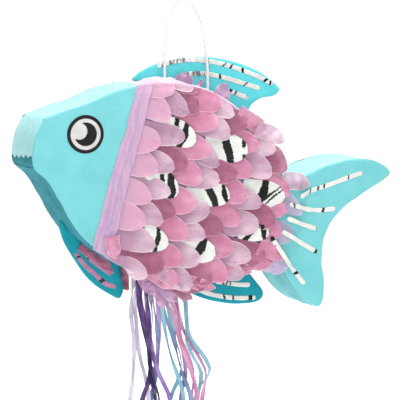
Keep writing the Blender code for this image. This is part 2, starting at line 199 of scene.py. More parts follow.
PETAL_FREE = 27  # length of the cut tongue
PETAL_HALF_WIDTH = 15.2
PETAL_WIDTHS = {"first_pink": 1, "pink": 1, "pale": 0.92, "mauve": 1.04, "lavender": 0.9}
PETAL_ALONG = 24
PETAL_ACROSS = 15
PETAL_FOLDS = 3
SCALE_ROWS = 8  # the fringes that stand for rows of the CAD model

# Loose tongues: tissue, body side (y), root, tip, half width
LOOSE_PETALS = (
    ("lavender_loose", -33, (24, -112), (37.5, -89), 9.5),
    ("lavender_loose", -8, (-4, -95), (-3, -78), 10.5),
    ("lavender_loose", -9, (17, -100), (19, -85), 3.5),
    ("pale", -42, (101, -198), (134, -203), 10),
    ("mauve", -36, (-23, -309), (-3, -324), 6),
    ("lavender_loose", -33, (-35, -305), (-20, -326), 7),
    ("lavender_loose", -34, (-63, -292), (-48, -317), 6.5),
    ("lavender_loose", -33, (-47, -300), (-36, -333), 6),
    ("mauve", 31, (-74, -286), (-55, -320), 9),
    ("mauve", 32, (-86, -279), (-66, -304), 8),
    ("pink", -43, (-22, -299), (21, -312), 7),
    ("pink", -42, (-60, -284), (-26, -310), 9.5),
    ("mauve", -42, (-34, -297), (8, -313), 8),
    ("pale", -44, (-46, -290), (-10, -312.5), 7),
    ("pink", -46, (-99, -249), (-95.5, -274), 8),
    ("pink", -43, (34, -290), (64, -297), 8),
    ("lavender", -42, (62, -284), (104, -297), 8),
    ("pink", -42, (48, -121), (83, -141), 9),
    ("pale", -45, (68, -139), (102, -155), 9),
    ("pink", -45, (71, -269), (101, -284), 9),
    ("mauve", -4, (-121, -263), (-83, -295), 6),
    ("mauve", 6, (-79, -286), (-63, -316), 7),
)

# ---- fins: the free edge, from one end of the root to the other ----
FIN_THICK = 2.4
FINS = {
    "dorsal_fin": [
        (-60, -84), (-50, -76.5), (-27, -67), (0, -63), (31, -62), (67, -69.5), (92, -80), (111, -93.5),
        (115.5, -99), (110, -105), (92, -108.5), (80, -117), (76, -131),
    ],
    "anal_fin": [
        (74, -298), (86, -312), (96.5, -328), (93, -334.5), (68, -338), (44, -335), (20, -328), (4, -319),
        (1, -310),
    ],
    "pelvic_fin": [
        (-73, -301), (-70.5, -314), (-75, -323.5), (-86, -319), (-110, -301.5), (-128, -277), (-139, -258),
        (-144, -243),
    ],
}
FIN_ROOTS = {"dorsal_fin": "back_strip", "anal_fin": "rear_belly_strip", "pelvic_fin": "jaw_strip"}
FIN_LOOKS = {"dorsal_fin": "fin_teal", "anal_fin": "deep_shaded_teal", "pelvic_fin": "deep_shaded_teal"}

# Foil stripes: the line each follows, its black marks, which are painted reflections of dark surroundings, as
# place along it, half width and slant, and for some where a silver stretch starts and ends
STRIPE_HALF = 2.5
STRIPE_THICK = 0.25
STRIPES = {
    "dorsal_fin": (
        ([(-31, -71), (-10, -66), (20, -65), (43, -69), (67, -76), (91, -85), (107, -93)],
         ((61, 0.6, 0), (80.5, 0.9, 0.6), (89, 1.3, 0.3), (103.5, 1.6, -0.25), (133.5, 1.8, 0.5),
          (140, 1.2, -0.2)),
         0, 48),
        ([(2, -80), (25, -80), (49, -85), (73, -92), (91, -97.5)],
         ((41.5, 1.6, -0.15), (73.5, 1, 0.6)), 0, 25),
        ([(53, -99), (61, -102), (77, -108)], ((2, 2.2, 0.25), (9, 1.2, 0.4), (23.5, 0.5, 0))),
    ),
    "anal_fin": (
        ([(17, -319), (29, -324), (44, -328), (62, -331), (87, -332)],
         ((33, 1.2, -0.4), (44, 1.2, -0.3), (65, 2.6, 0.2))),
        ([(38, -311), (50, -313), (65, -316), (80, -317)], ((9, 1.2, -0.5), (14, 0.9, 0.3), (18, 0.8, 0))),
    ),
    "pelvic_fin": (
        ([(-126, -271), (-115, -285), (-103, -296), (-92, -306), (-79, -311)],
         ((6, 1.2, 0.3), (44, 2.2, 0.3))),
        ([(-118, -267), (-107, -280), (-95, -289), (-84, -297)], ((12, 1.2, -0.3),)),
    ),
    "tail": (
        ([(121, -216), (136, -210), (148, -207), (166, -202), (185, -196), (200, -192)],
         ((15.5, 0.9, 0.5), (26, 1.2, 0.2), (33.5, 1, 0.3), (65, 0.9, 0.2))),
        ([(108, -223), (124, -228), (136, -231), (148, -232), (167, -231)], ((6, 1.1, -0.5), (45, 1.8, 0.25))),
        ([(105, -238.5), (119, -244), (130, -248), (145, -253)], ((41, 0.5, 0),)),
        ([(99, -253), (112, -260), (124, -267), (136, -274), (145, -279)], ((51, 1.7, 0.2),)),
        ([(86, -258), (95, -271), (108, -289), (117, -299), (129, -314)], ((2, 3.6, 0.1), (54, 1.8, 0.35))),
    ),
}


# ======== curves and random values ========

def smooth(points, step, before=None, after=None):
    """Points about a step apart on a curve through the given ones, easing out of and into its neighbours."""
    points = np.array(points, float)
    first = 2 * points[0] - points[1] if before is None else before
    last = 2 * points[-1] - points[-2] if after is None else after
    through = np.array([first, *points, last], float)
    curve = []
    for i in range(1, len(through) - 2):
        a, b, c, d = through[i - 1:i + 3]
        span = np.linalg.norm(c - b)
        out = ((b - a) / np.linalg.norm(b - a) + (c - b) / span) / 2
        into = ((c - b) / span + (d - c) / np.linalg.norm(d - c)) / 2
        for t in np.linspace(0, 1, max(2, round(span / step)), endpoint=False):
            curve.append(
                b * (2 * t**3 - 3 * t**2 + 1) + c * (3 * t**2 - 2 * t**3)
                + span * (out * (t**3 - 2 * t**2 + t) + into * (t**3 - t**2))
            )
    curve.append(points[-1])
    return np.array(curve)


def travelled(curve):
    """How far along the curve each of its points is."""
    return np.concatenate([[0], np.cumsum(np.linalg.norm(np.diff(curve, axis=0), axis=1))])


def placed(curve, gone, places):
    """The curve's points at the given distances along it."""
    return np.stack([np.interp(places, gone, column) for column in curve.T], axis=1)


def along(curve, count):
    """The curve again, as evenly spaced points."""
    gone = travelled(curve)
    return placed(curve, gone, np.linspace(0, gone[-1], count))


def trimmed(curve, start, end):
    """The curve without its first and last stretches."""
    gone = travelled(curve)
    count = max(3, round((gone[-1] - start - end) / STEP) + 1)
    return placed(curve, gone, np.linspace(start, gone[-1] - end, count))


def unit(vectors):
    return vectors / np.linalg.norm(vectors, axis=-1, keepdims=True)


def left_of(curve):
    """The direction to the left of travel at each point, which is out of the fish on its outline."""
    steps = unit(np.gradient(curve, axis=0))
    return np.stack([-steps[:, 1], steps[:, 0]], axis=1)


def out_of(outline):
    """The direction out of a closed clockwise outline at each point."""
    return left_of(np.vstack([outline[-1:], outline, outline[:1]]))[1:-1]


def framed(curve):
    """A hanging curve's direction, the way across it in the fish's plane, and the way out of that plane."""
    ahead = unit(np.gradient(curve, axis=0))
    across = unit(np.cross(ahead, (0, 1, 0)))
    return ahead, across, np.cross(across, ahead)


def run_curves():
    """Each run of the outline as a curve, which is smooth into the next run except at a fold."""
    names = list(OUTLINE)
    curves = {}
    for i, name in enumerate(names):
        following = names[(i + 1) % len(names)]
        before = None if name in CORNERS else OUTLINE[names[i - 1]][-2]
        after = None if following in CORNERS else OUTLINE[following][1]
        curves[name] = smooth(OUTLINE[name], STEP, before, after)
    return curves


def ripple(points, scale, seed):
    """A smooth random value, mostly from -1 to 1, that changes over about the scale."""
    draw = np.random.default_rng(seed)
    points = np.asarray(points, float)
    total = np.zeros(points.shape[:-1])
    for _ in range(RIPPLE_WAVES):
        direction = draw.normal(size=points.shape[-1])
        direction *= draw.uniform(0.6, 1.6) / np.linalg.norm(direction)
        total += np.sin(points @ direction * math.pi / scale + draw.uniform(0, math.tau))
    return total / math.sqrt(RIPPLE_WAVES)


def crease(points, scale, seed):
    """Like ripple, but with sharp ridges."""
    return 1 - 2 * np.minimum(1, np.abs(ripple(points, scale, seed)))


def ease(value, low, high):
    """0 below low, 1 above high, smooth between."""
    t = np.clip((value - low) / (high - low), 0, 1)
    return t * t * (3 - 2 * t)


def from_outline(points, outline):
    """How far outside a closed outline each point is, its nearest edge point and the way out there."""
    start, edge = outline, np.roll(outline, -1, axis=0) - outline
    away = points[:, None] - start
    share = np.clip((away * edge).sum(2) / (edge**2).sum(1), 0, 1)
    near = start + share[..., None] * edge
    gap = np.linalg.norm(points[:, None] - near, axis=2)
    rows, best = np.arange(len(points)), gap.argmin(axis=1)
    spans = (start[:, 1] > points[:, None, 1]) != (np.roll(start, -1, axis=0)[:, 1] > points[:, None, 1])
    rise = np.where(np.abs(edge[:, 1]) < 1e-9, 1e-9, edge[:, 1])
    crossing = start[:, 0] + away[..., 1] * edge[:, 0] / rise
    inside = (spans & (points[:, None, 0] < crossing)).sum(axis=1) % 2 == 1
    out = unit(np.stack([-edge[:, 1], edge[:, 0]], axis=1))
    return gap[rows, best] * np.where(inside, -1, 1), near[rows, best], out[best]


def at_depth(flat, y):
    """Points of the side view, (x, z), placed at their y."""
    return np.stack([flat[..., 0], np.broadcast_to(y, flat.shape[:-1]), flat[..., 1]], axis=-1)


def behind_gill(points):
    """How far behind the gill's leaning line each point of the side view is, measured level."""
    return points[..., 0] - GILL_LEAN * (points[..., 1] - GILL_Z)


# ======== meshes ========

def make(name, verts, faces, looks, body="fish", replaced=(), marks=None, kinds=None, closed=False, sheet=0):
    """One smooth-shaded piece from points in millimetres, which rides on a body.

    Its looks name its materials, and kinds says which of them each face has. A closed piece's faces are turned
    outward, and a sheet is one layer that is given this thickness.
    """
    mesh = bpy.data.meshes.new(name)
    verts = np.asarray(verts).reshape(-1, 3) * MM
    mesh.from_pydata([tuple(v) for v in verts], [], [tuple(map(int, f)) for f in faces])
    for look in looks:
        mesh.materials.append(MATERIALS[look])
    if kinds is not None:
        mesh.polygons.foreach_set("material_index", np.asarray(kinds, np.int32))
    mesh.polygons.foreach_set("use_smooth", np.ones(len(faces), bool))
    for title, values in (marks or {}).items():
        attribute = mesh.attributes.new(title, "FLOAT", "POINT")
        attribute.data.foreach_set("value", np.asarray(values, np.float32).reshape(-1))
    mesh.validate()
    mesh.update()
    if closed:
        shape = bmesh.new()
        shape.from_mesh(mesh)
        bmesh.ops.recalc_face_normals(shape, faces=shape.faces)
        shape.to_mesh(mesh)
        shape.free()
    piece = bpy.data.objects.new(name, mesh)
    bpy.context.scene.collection.objects.link(piece)
    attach(piece, body)
    if replaced:
        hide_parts(*replaced)
    if sheet:
        solid = piece.modifiers.new("thickness", "SOLIDIFY")
        solid.thickness = sheet * MM
        solid.offset = 0
    return piece


def grid_faces(rows, columns, first=0, closed=False):
    """Faces between neighbouring rows of points."""
    faces = []
    for r in range(rows - 1):
        for c in range(columns if closed else columns - 1):
            a, b = first + r * columns + c, first + r * columns + (c + 1) % columns
            faces.append((a, b, b + columns, a + columns))
    return faces


def doubled(triangles, count):
    """Faces of a closed shape made of two copies of a flat one, joined along its rim, and the rim's edges."""
    edges = dict.fromkeys((a, b) for face in triangles for a, b in zip(face, face[1:] + face[:1]))
    rim = [(a, b) for a, b in edges if (b, a) not in edges]
    faces = [*triangles, *(tuple(i + count for i in face[::-1]) for face in triangles)]
    return faces + [(b, a, a + count, b + count) for a, b in rim], rim


def round_off(depth, radius):
    """How far a rounded edge has fallen away, this deep inside it."""
    inset = np.clip(radius - depth, 0, None)
    return radius - np.sqrt(np.clip(radius**2 - inset**2, 0, None))


def filled(outline, spacing, insets, seed):
    """Points and triangles over the inside of an outline, with rows of points just inside its edge."""
    draw = np.random.default_rng(seed)
    low, high = outline.min(axis=0), outline.max(axis=0)
    xs = np.arange(low[0], high[0], spacing)
    zs = np.arange(low[1], high[1], spacing * 0.87)
    grid = np.array([(x + spacing / 2 * (k % 2), z) for k, z in enumerate(zs) for x in xs])
    grid += draw.uniform(-0.18, 0.18, grid.shape) * spacing
    inner = grid[from_outline(grid, outline)[0] < -max(insets) - spacing * 0.45]
    ringed = np.concatenate([outline - inset * out_of(outline) for inset in insets])
    depth = -from_outline(ringed, outline)[0]
    wanted = np.repeat(insets, len(outline))
    ringed = ringed[np.abs(depth - wanted) < 0.15 * wanted]
    points = np.concatenate([outline, ringed, inner])
    made = delaunay_2d_cdt([Vector(p) for p in points], [], [list(range(len(outline)))], 1, 1e-4, False)
    flat = np.array([tuple(v) for v in made[0]])
    middles = np.array([flat[list(face)].mean(axis=0) for face in made[2]])
    inside = from_outline(middles, outline)[0] < 0
    return flat, [face for face, kept in zip(made[2], inside) if kept]


# ======== materials ========

MATERIALS = {}


def connect(tree, made, inputs):
    """Sets each of a node's inputs to a value, or links it to another node's output."""
    for key, value in inputs.items():
        if isinstance(value, bpy.types.NodeSocket):
            tree.links.new(value, made.inputs[key])
        else:
            made.inputs[key].default_value = value


def node(tree, kind, inputs=None, **settings):
    made = tree.nodes.new(kind)
    for key, value in settings.items():
        setattr(made, key, value)
    connect(tree, made, inputs or {})
    return made


def noise(tree, place, scale, detail=3.0, **settings):
    values = {"Vector": place, "Scale": scale, "Detail": detail}
    return node(tree, "ShaderNodeTexNoise", values, **settings).outputs[0]


def stretched(tree, place, scale, rotation=(0.0, 0.0, 0.0)):
    return node(tree, "ShaderNodeMapping", {"Vector": place, "Rotation": rotation, "Scale": scale}).outputs[0]


def mark(tree, name):
    """A value that the mesh carries at each point."""
    return node(tree, "ShaderNodeAttribute", attribute_name=name).outputs["Fac"]


def started(name):
    material = bpy.data.materials.new(name)
    material.use_nodes = True
    MATERIALS[name] = material
    tree = material.node_tree
    return tree, tree.nodes["Principled BSDF"], node(tree, "ShaderNodeTexCoord").outputs["Object"]


def blended(tree, factor, low, high):
    """Two colours mixed, where a factor, colour or both may come from other nodes."""
    low, high = ((*colour, 1) if isinstance(colour, tuple) else colour for colour in (low, high))
    return node(tree, "ShaderNodeMix", {0: factor, 6: low, 7: high}, data_type="RGBA").outputs[2]


def ranged(tree, value, low, high, to_low=0.0, to_high=1.0):
    return node(tree, "ShaderNodeMapRange", {0: value, 1: low, 2: high, 3: to_low, 4: to_high}).outputs[0]


def bumped(tree, height, strength, distance, **under):
    values = {"Height": height, "Strength": strength, "Distance": distance, **under}
    return node(tree, "ShaderNodeBump", values).outputs[0]


def surfaced(tree, shader, **inputs):
    """Sets or links the shader's sockets, which are named with underscores here."""
    connect(tree, shader, {name.replace("_", " "): value for name, value in inputs.items()})


def tissue(name, colour, dark, light, stretch=(1, 1, 1), creases=1.0, alpha=1.0, petal=False, rough=0.72,
           sheen=0.2, gloss=0.2):
    """Tissue paper: uneven dye, fine fibres, and creases painted lighter as highlights. A petal has its own
    tone, painted shade at its root and a painted highlight on its cut edge.
    """
    tree, shader, place = started(name)
    where = stretched(tree, place, stretch)
    dye = noise(tree, where, 45.0, 4.0)
    fibre = noise(tree, where, 900.0)
    fold = noise(tree, where, 70.0, noise_type="RIDGED_MULTIFRACTAL")
    fold.node.inputs["Lacunarity"].default_value = 2.3
    shade = blended(tree, ranged(tree, dye, 0.3, 0.7), dark, colour)
    shade = blended(tree, ranged(tree, fibre, 0.45, 0.75, 0.0, 0.35), shade, light)
    # Painted highlight: the ridges of the creases are painted lighter.
    shade = blended(tree, ranged(tree, fold, 0.9, 1.8, 0.0, 0.22 * creases), shade, light)
    if petal:
        # Painted shade: a petal is darkened towards its root by this mark, which also carries its own random
        # tone.
        shade = blended(tree, ranged(tree, mark(tree, "tone_and_shade"), 0.0, 1.0), dark, shade)
        # Painted highlight along a petal's cut edge.
        shade = blended(tree, ranged(tree, mark(tree, "rim"), 0.35, 1.0, 0.0, 0.75), shade, light)
    relief = bumped(tree, fold, 0.35 * creases, 0.0007)
    surfaced(tree, shader, Base_Color=shade, Normal=bumped(tree, fibre, 0.25, 0.0002, Normal=relief),
             Roughness=ranged(tree, fibre, 0.3, 0.7, rough - 0.08, rough + 0.1), Sheen_Weight=sheen,
             Specular_IOR_Level=gloss, Alpha=alpha)


def printed(name, white, black, rough, foil=False):
    """White paper or foil, black where the mark the mesh carries, a distance in millimetres, is below zero:
    printed ink on paper, painted reflections of dark surroundings on foil.
    """
    tree, shader, place = started(name)
    ragged = noise(tree, place, 700.0)
    broad = noise(tree, place, 120.0, 4.0)
    spread = 0.9 if foil else 0.12
    fuzz = ranged(tree, ragged, 0.3, 0.7, -spread, spread)
    edge = node(tree, "ShaderNodeMath", {0: mark(tree, "print_and_reflection"), 1: fuzz}, operation="ADD").outputs[0]
    paper = blended(tree, ranged(tree, broad, 0.35, 0.65), tuple(0.88 * v for v in white), white)
    if foil:
        # Painted reflections: the silver stretches are painted with slanting dark and light streaks, as of
        # crinkled foil.
        glint = noise(tree, stretched(tree, place, (1.0, 1.0, 0.22), (0.0, 0.5, 0.0)), 380.0)
        metal = blended(tree, ranged(tree, glint, 0.42, 0.54), (0.13, 0.13, 0.135), (0.64, 0.64, 0.64))
        paper = blended(tree, mark(tree, "silver"), paper, metal)
    surfaced(tree, shader, Base_Color=blended(tree, ranged(tree, edge, -0.25, 0.25), black, paper),
             Roughness=ranged(tree, broad, 0.3, 0.7, rough - 0.07, rough + 0.1),
             Normal=bumped(tree, broad, 0.2, 0.0006), Specular_IOR_Level=0.22)


def satin(name, colour, dark):
    """Curling ribbon: broad lengths painted lighter and darker as painted satin highlights and shade, and fine
    lengthwise threads.
    """
    tree, shader, place = started(name)
    fine = noise(tree, stretched(tree, place, (1.0, 1.0, 0.06)), 1800.0, 2.0)
    broad = noise(tree, place, 32.0, 2.0)
    surfaced(tree, shader, Base_Color=blended(tree, ranged(tree, broad, 0.4, 0.62), dark, colour),
             Roughness=ranged(tree, fine, 0.3, 0.7, 0.22, 0.36), Normal=bumped(tree, fine, 0.15, 0.0002),
             Sheen_Weight=0.08, Specular_IOR_Level=0.3)


def fibrous(name, colour, dark, scale=(1, 1, 1), rough=0.85):
    """Card, paper tape or cotton: flecks, fibres and a slightly uneven face."""
    tree, shader, place = started(name)
    fibre = noise(tree, stretched(tree, place, scale), 700.0, 5.0)
    shade = blended(tree, ranged(tree, noise(tree, place, 60.0), 0.3, 0.7), dark, colour)
    surfaced(tree, shader, Base_Color=blended(tree, ranged(tree, fibre, 0.5, 0.8, 0.0, 0.5), shade, dark),
             Roughness=ranged(tree, fibre, 0.3, 0.7, rough - 0.08, rough + 0.08),
             Normal=bumped(tree, fibre, 0.3, 0.0003))


def make_materials():
    skin = {"creases": 1.6}
    loose = {"stretch": (0.4, 1, 1.2), "creases": 1.8, "petal": True}
    tissue("teal", (0.132, 0.435, 0.455), (0.105, 0.385, 0.405), (0.25, 0.53, 0.545))
    tissue("fin_teal", (0.095, 0.51, 0.545), (0.06, 0.44, 0.475), (0.19, 0.57, 0.59), sheen=0.05, gloss=0.1)
    # Painted light: the teal tissue painted lighter for the back, the tail's top and end, and the nose lap.
    tissue("lit_teal", (0.26, 0.53, 0.54), (0.195, 0.465, 0.475), (0.4, 0.61, 0.62), stretch=(1, 0.35, 1),
           creases=1.2)
    # Painted shade: the teal tissue painted darker for the strip under the tail.
    tissue("shaded_low_teal", (0.13, 0.38, 0.4), (0.06, 0.29, 0.31), (0.27, 0.5, 0.51), sheen=0.05, gloss=0.08,
           **skin)
    # The lower fins' own deeper teal, also painted darker as painted shade under the belly.
    tissue("deep_shaded_teal", (0.006, 0.25, 0.3), (0.003, 0.17, 0.22), (0.03, 0.36, 0.42), creases=1.4, rough=0.6,
           sheen=0.03, gloss=0.12)
    # Painted shade: the teal tissue painted darker for the jaw and the lower nose.
    tissue("shaded_jaw_teal", (0.026, 0.21, 0.255), (0.012, 0.14, 0.18), (0.1, 0.36, 0.4), creases=2.2, sheen=0.03,
           gloss=0.05)
    # Painted light: the pink tissue painted paler where it covers the top of the back.
    tissue("lit_top_pink", (0.58, 0.46, 0.54), (0.48, 0.32, 0.43), (0.64, 0.56, 0.61), **skin)
    # Painted shade: the pink tissue painted darker for the belly strip, the door and its frame underneath.
    tissue("shaded_belly_pink", (0.44, 0.24, 0.31), (0.36, 0.16, 0.24), (0.56, 0.4, 0.48), gloss=0.1, **skin)
    tissue("lavender_skin", (0.24, 0.18, 0.3), (0.18, 0.13, 0.25), (0.36, 0.29, 0.42))
    tissue("gill", (0.46, 0.28, 0.375), (0.32, 0.22, 0.36), (0.55, 0.44, 0.5), stretch=(3, 1, 0.5),
           creases=0.8, petal=True)
    tissue("first_pink", (0.54, 0.25, 0.36), (0.44, 0.26, 0.36), (0.66, 0.48, 0.55), alpha=0.88, **loose)
    tissue("pink", (0.58, 0.285, 0.4), (0.41, 0.14, 0.235), (0.67, 0.5, 0.57), alpha=0.9, **loose)
    tissue("pale", (0.65, 0.485, 0.555), (0.37, 0.2, 0.3), (0.74, 0.66, 0.69), alpha=0.8, **loose)
    tissue("mauve", (0.39, 0.135, 0.215), (0.22, 0.065, 0.12), (0.56, 0.34, 0.43), alpha=0.93, **loose)
    tissue("lavender_loose", (0.48, 0.3, 0.43), (0.32, 0.16, 0.29), (0.6, 0.47, 0.56), alpha=0.9, petal=True)
    tissue("lavender", (0.56, 0.42, 0.56), (0.44, 0.33, 0.5), (0.64, 0.56, 0.64), alpha=0.6, petal=True)
    # On this foil the black marks are painted reflections of dark surroundings.
    printed("reflecting_foil", (0.58, 0.59, 0.56), (0.004, 0.004, 0.004), 0.35, foil=True)
    # The pelvic fin's foil is painted darker and pinker, as painted shade and a painted reflection of the pink
    # tissue beside it.
    printed("shaded_foil", (0.36, 0.16, 0.27), (0.02, 0.02, 0.02), 0.3, foil=True)
    printed("eye_print", (0.475, 0.465, 0.455), (0.004, 0.004, 0.004), 0.6)
    satin("ribbon_white", (0.5, 0.47, 0.54), (0.36, 0.33, 0.42))
    satin("ribbon_purple", (0.11, 0.05, 0.21), (0.012, 0.004, 0.045))
    satin("ribbon_lilac", (0.22, 0.12, 0.34), (0.06, 0.025, 0.13))
    satin("ribbon_lavender", (0.36, 0.25, 0.46), (0.17, 0.1, 0.28))
    satin("ribbon_blue", (0.18, 0.26, 0.42), (0.11, 0.17, 0.32))
    satin("ribbon_cyan", (0.24, 0.44, 0.5), (0.16, 0.34, 0.42))
    satin("ribbon_pink", (0.53, 0.25, 0.4), (0.42, 0.17, 0.3))
    fibrous("bare_card", (0.36, 0.26, 0.17), (0.26, 0.18, 0.11), scale=(0.4, 1, 1))
    fibrous("paper_tape", (0.55, 0.53, 0.49), (0.46, 0.44, 0.4))
    fibrous("white_cord", (0.62, 0.62, 0.62), (0.55, 0.55, 0.56))


# ======== camera, floor and light ========

def make_camera():
    azimuth, elevation = math.radians(AZIMUTH), math.radians(ELEVATION)
    back = Vector((
        math.sin(azimuth) * math.cos(elevation), -math.cos(azimuth) * math.cos(elevation), math.sin(elevation),
    ))
    camera = bpy.data.objects.new("camera", bpy.data.cameras.new("camera"))
    bpy.context.scene.collection.objects.link(camera)
    camera.location = (Vector(AIM) + DISTANCE * back) * MM
    camera.rotation_mode = "QUATERNION"
    camera.rotation_quaternion = (-back).to_track_quat("-Z", "Y")
    camera.data.lens = LENS
    camera.data.sensor_width = SENSOR
    camera.data.clip_end = FAR_CLIP
    bpy.context.scene.camera = camera


def make_lamps():
    for name, (place, towards, size, power) in LAMPS.items():
        light = bpy.data.lights.new(name, "AREA")
        light.shape = "RECTANGLE"
        light.size, light.size_y = size
        light.energy = power
        lit = bpy.data.objects.new(name, light)
        bpy.context.scene.collection.objects.link(lit)
        lit.location = place
        lit.rotation_euler = (Vector(towards) - Vector(place)).to_track_quat("-Z", "Y").to_euler()


def make_stage():
    world = bpy.data.worlds.new("studio")
    world.use_nodes = True
    sky = world.node_tree
    connect(sky, sky.nodes["Background"], {"Color": (1, 1, 1, 1), "Strength": WORLD_STRENGTH})
    bpy.context.scene.world = world
    bpy.context.scene.view_settings.view_transform = "Standard"
    make_lamps()

    floor = bpy.data.meshes.new("floor")
    corners = [(-1, -1), (1, -1), (1, 1), (-1, 1)]
    floor.from_pydata([(x * FLOOR_HALF, y * FLOOR_HALF, FLOOR_HEIGHT) for x, y in corners], [], [(0, 1, 2, 3)])
    tree, shader, place = started("floor")
    surfaced(tree, shader, Roughness=ranged(tree, noise(tree, place, 4.0, 2.0), 0.3, 0.7, 0.85, 0.95),
             Base_Color=(0.9, 0.9, 0.9, 1), Emission_Color=(1, 1, 1, 1), Emission_Strength=FLOOR_GLOW)
    floor.materials.append(MATERIALS["floor"])
    ground = bpy.data.objects.new("floor", floor)
    bpy.context.scene.collection.objects.link(ground)


# ======== cords ========

def make_loop():
    """The cord loop: three strands twisted together, which go through the back to their knots."""
    lift = [LOOP_LEAN * min(1, -z / LOOP_LEANT) for _, z in LOOP_ROUTE]
    route = along(smooth([(x, y, z) for (x, z), y in zip(LOOP_ROUTE, lift)], 2), 200)
    _, across, out = framed(route)
    gone = travelled(route)
    around = 20
    angles = math.tau * np.arange(around) / around
    strand = np.cos(CORD_STRANDS * angles - math.tau * gone[:, None] / CORD_LAY)
    radius = CORD_RADIUS * (1 - CORD_GROOVE + CORD_GROOVE * strand)
    ring = np.cos(angles)[:, None] * across[:, None] + np.sin(angles)[:, None] * out[:, None]
    faces = grid_faces(len(route), around, closed=True)
    total = len(route) * around
    faces += [tuple(range(around))[::-1], tuple(range(total - around, total))]
    piece = make("hanging_loop_cord", route[:, None] + radius[..., None] * ring, faces, ["white_cord"],
                 replaced=["hanging_loop"], closed=True)


def ribbon_route(number, top_x, levels):
    """A ribbon's middle line, from its end on the card down."""
    (front_x, front_z), (rear_x, rear_z) = OUTLINE["door_frame"]
    slope = (rear_z - front_z) / (rear_x - front_x)
    low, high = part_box("ribbon_card")
    card_x, card_z = (low.x + high.x) / 2 / MM, (low.z + high.z) / 2 / MM
    top = (top_x, card_z + slope * (top_x - card_x) - 2.2)
    ends = [*RIBBON_LEVELS[:-1], RIBBON_LEVELS[-1] + 8 * (number * 3 % 5 - 2)]
    flat = along(smooth([top, *zip(levels, ends)], 4), RIBBON_POINTS)
    gone = travelled(flat)
    wander = 2.2 * ease(gone, 20, 120) * ripple(gone[:, None], 60, 40 + number)
    return at_depth(flat, RIBBON_FIRST_Y + RIBBON_PITCH * number + wander)


def make_ribbons():
    shares = np.linspace(-1, 1, RIBBON_ACROSS)[:, None]
    for number, (look, top_x, levels) in enumerate(RIBBONS):
        route = ribbon_route(number, top_x, levels)
        fine = along(route, RIBBON_ALONG)
        gone = travelled(fine)
        ahead, flat, out = framed(fine)
        turn = RIBBON_TURN * np.tanh(1.6 * ease(gone, 2, 22) * ripple(gone[:, None], 62, 70 + number))[:, None]
        side = np.cos(turn) * flat + np.sin(turn) * out
        face = np.cross(side, ahead)[:, None]
        slant = np.zeros((len(fine), 1, 1))
        slant[-1] = RIBBON_SLANT
        middle = fine[:, None] + side[:, None] * shares * RIBBON_WIDTH / 2 + ahead[:, None] * slant * shares
        middle = middle + face * RIBBON_CUP * (1 - shares**2)
        verts = [middle + face * RIBBON_THICK / 2, middle - face * RIBBON_THICK / 2]
        faces, _ = doubled(grid_faces(len(fine), RIBBON_ACROSS), len(fine) * RIBBON_ACROSS)
        name = f"ribbon_{number + 1:02d}"
        piece = make(f"{name}_satin", verts, faces, [f"ribbon_{look}"], "ribbon_bundle", [name], closed=True)


# ======== the box ========

def face_swell(points):
    """How far a tissue-covered face stands off its flat plane."""
    return 0.35 * ripple(points, 38, 5) + 0.18 * crease(points, 17, 6) + 0.2


def make_panels(outline):
    """The tissue on each card side: teal, with a lavender skin under the scales and bare card inside."""
    wavy = outline + (0.2 + 0.35 * ripple(outline, 16, 3))[:, None] * out_of(outline)
    flat, triangles = filled(wavy, FACE_GRID, (0.25, 0.8, EDGE_ROUND, 3.2), 11)
    depth = np.clip(-from_outline(flat, wavy)[0], 0, None)
    height = PANEL_OUT - round_off(depth, EDGE_ROUND) + face_swell(flat) * ease(depth, 0.5, 8)
    faces, rim = doubled(triangles, len(flat))
    middle = np.array([flat[list(face)].mean(axis=0) for face in triangles])
    behind = behind_gill(middle)
    skin = (behind > GILL_X + 4) & (behind < SCALE_END_X - 12)
    inside = np.where(from_outline(middle, outline)[0] < -4, 2, skin)
    on_rim = behind_gill(flat[[a for a, _ in rim]])
    kinds = [*skin, *inside, *((on_rim > GILL_X + 4) & (on_rim < SCALE_END_X - 4))]
    for title, facing in SIDES:
        verts = [at_depth(flat, facing * height), at_depth(flat, facing * PANEL_IN)]
        make(f"{title}_panel_tissue", verts, faces, ["teal", "lavender_skin", "bare_card"],
             replaced=[f"{title}_panel"], kinds=kinds, closed=True)


